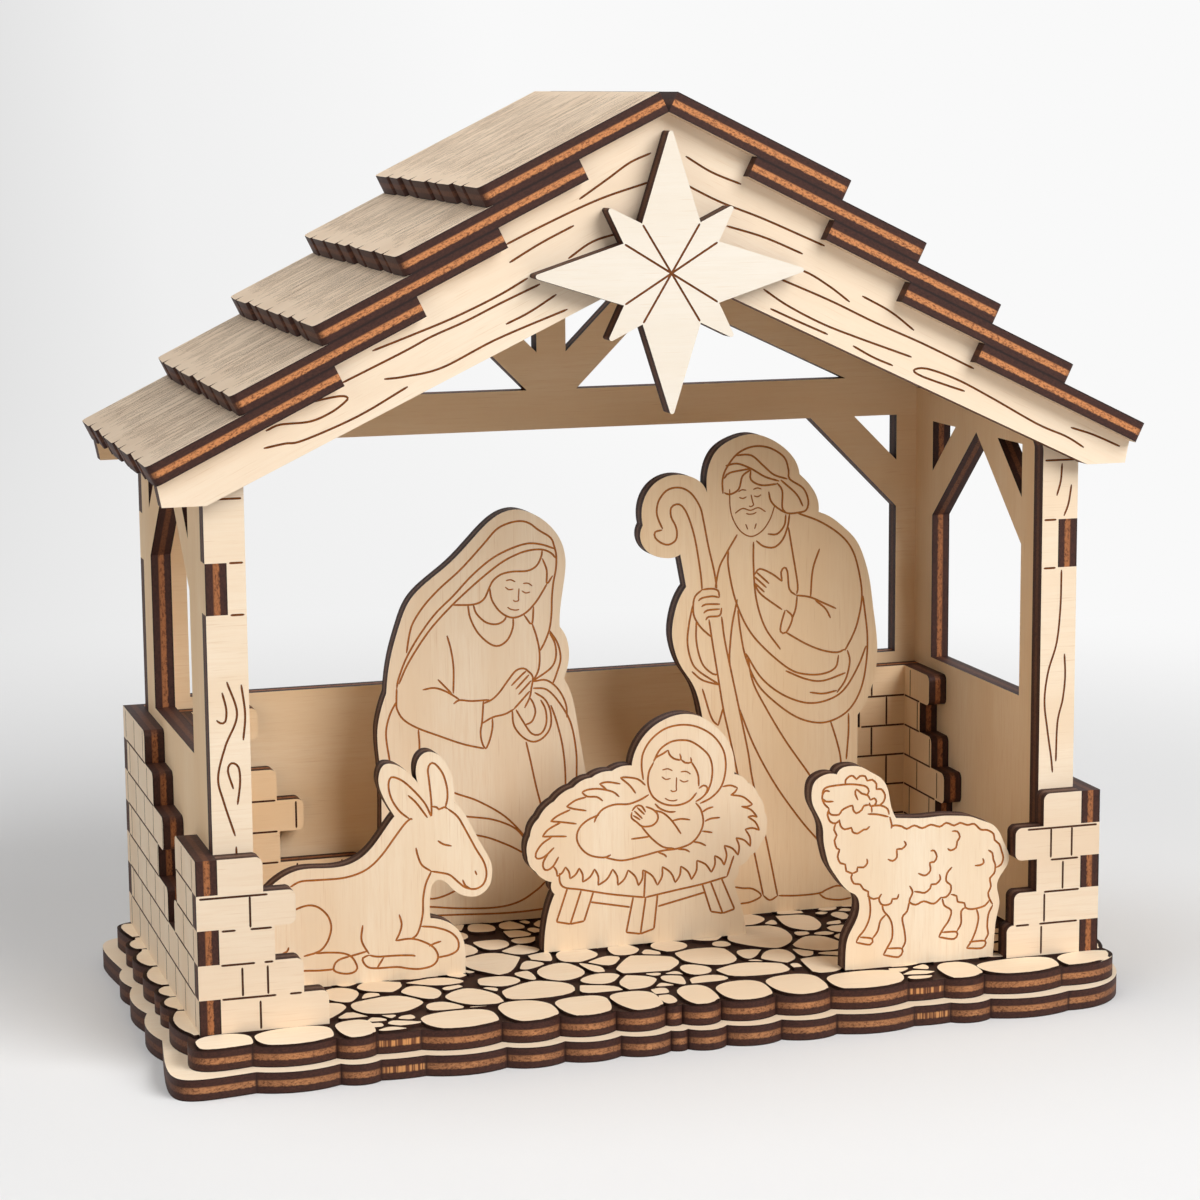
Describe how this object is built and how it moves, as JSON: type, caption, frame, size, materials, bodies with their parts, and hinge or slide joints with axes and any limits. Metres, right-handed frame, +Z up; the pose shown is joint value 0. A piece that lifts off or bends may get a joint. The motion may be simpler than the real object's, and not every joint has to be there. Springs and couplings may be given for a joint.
{
  "type": "nativity stable",
  "caption": "Laser-cut plywood nativity stable: cobbled base, framed open walls, brick corners, stepped shingle roof with gable star, and flat figures that lift out of floor slots.",
  "frame": {"origin": "on the table under the middle of the base", "axes": "+Z up; -Y towards the open front with the star; +X to the right as seen from the front, along the width"},
  "size_m": [0.1694, 0.0886, 0.1548],
  "materials": {
    "base_ply": "bare birch plywood with laser-engraved cobbles and scorched edges",
    "wall_ply": "bare birch plywood with laser-engraved lines and scorched edges",
    "roof_ply": "bare birch plywood engraved all over with plank grain, scorched edges",
    "figure_ply": "bare birch plywood with laser-engraved drawing and scorched edges"
  },
  "bodies": {
    "stable": {"base_lower": "base_ply", "base_upper": "base_ply", "front_frame": "wall_ply", "back_frame": "wall_ply", "left_wall": "wall_ply", "right_wall": "wall_ply", "left_fascia": "wall_ply", "right_fascia": "wall_ply", "star": "wall_ply", "left_shingles_1": "roof_ply", "left_shingles_2": "roof_ply", "left_shingles_3": "roof_ply", "left_shingles_4": "roof_ply", "left_shingles_5": "roof_ply", "right_shingles_1": "roof_ply", "right_shingles_2": "roof_ply", "right_shingles_3": "roof_ply", "right_shingles_4": "roof_ply", "right_shingles_5": "roof_ply", "front_left_bricks": "wall_ply", "front_right_bricks": "wall_ply", "left_side_bricks": "wall_ply", "right_side_bricks": "wall_ply", "back_left_bricks": "wall_ply", "back_right_bricks": "wall_ply", "inner_back_left_bricks": "wall_ply", "inner_back_right_bricks": "wall_ply", "inner_left_bricks": "wall_ply", "inner_right_bricks": "wall_ply"},
    "woman_figure": {"kneeling_woman": "figure_ply"},
    "man_figure": {"standing_man": "figure_ply"},
    "manger_figure": {"child_in_manger": "figure_ply"},
    "donkey_figure": {"donkey": "figure_ply"},
    "sheep_figure": {"sheep": "figure_ply"}
  },
  "joints": [
    {"name": "woman_lift", "type": "slide", "parent": "stable", "child": "woman_figure", "axis": [0, 0, 1], "range_m": [0, 0.01]},
    {"name": "man_lift", "type": "slide", "parent": "stable", "child": "man_figure", "axis": [0, 0, 1], "range_m": [0, 0.01]},
    {"name": "manger_lift", "type": "slide", "parent": "stable", "child": "manger_figure", "axis": [0, 0, 1], "range_m": [0, 0.01]},
    {"name": "donkey_lift", "type": "slide", "parent": "stable", "child": "donkey_figure", "axis": [0, 0, 1], "range_m": [0, 0.01]},
    {"name": "sheep_lift", "type": "slide", "parent": "stable", "child": "sheep_figure", "axis": [0, 0, 1], "range_m": [0, 0.01]}
  ]
}
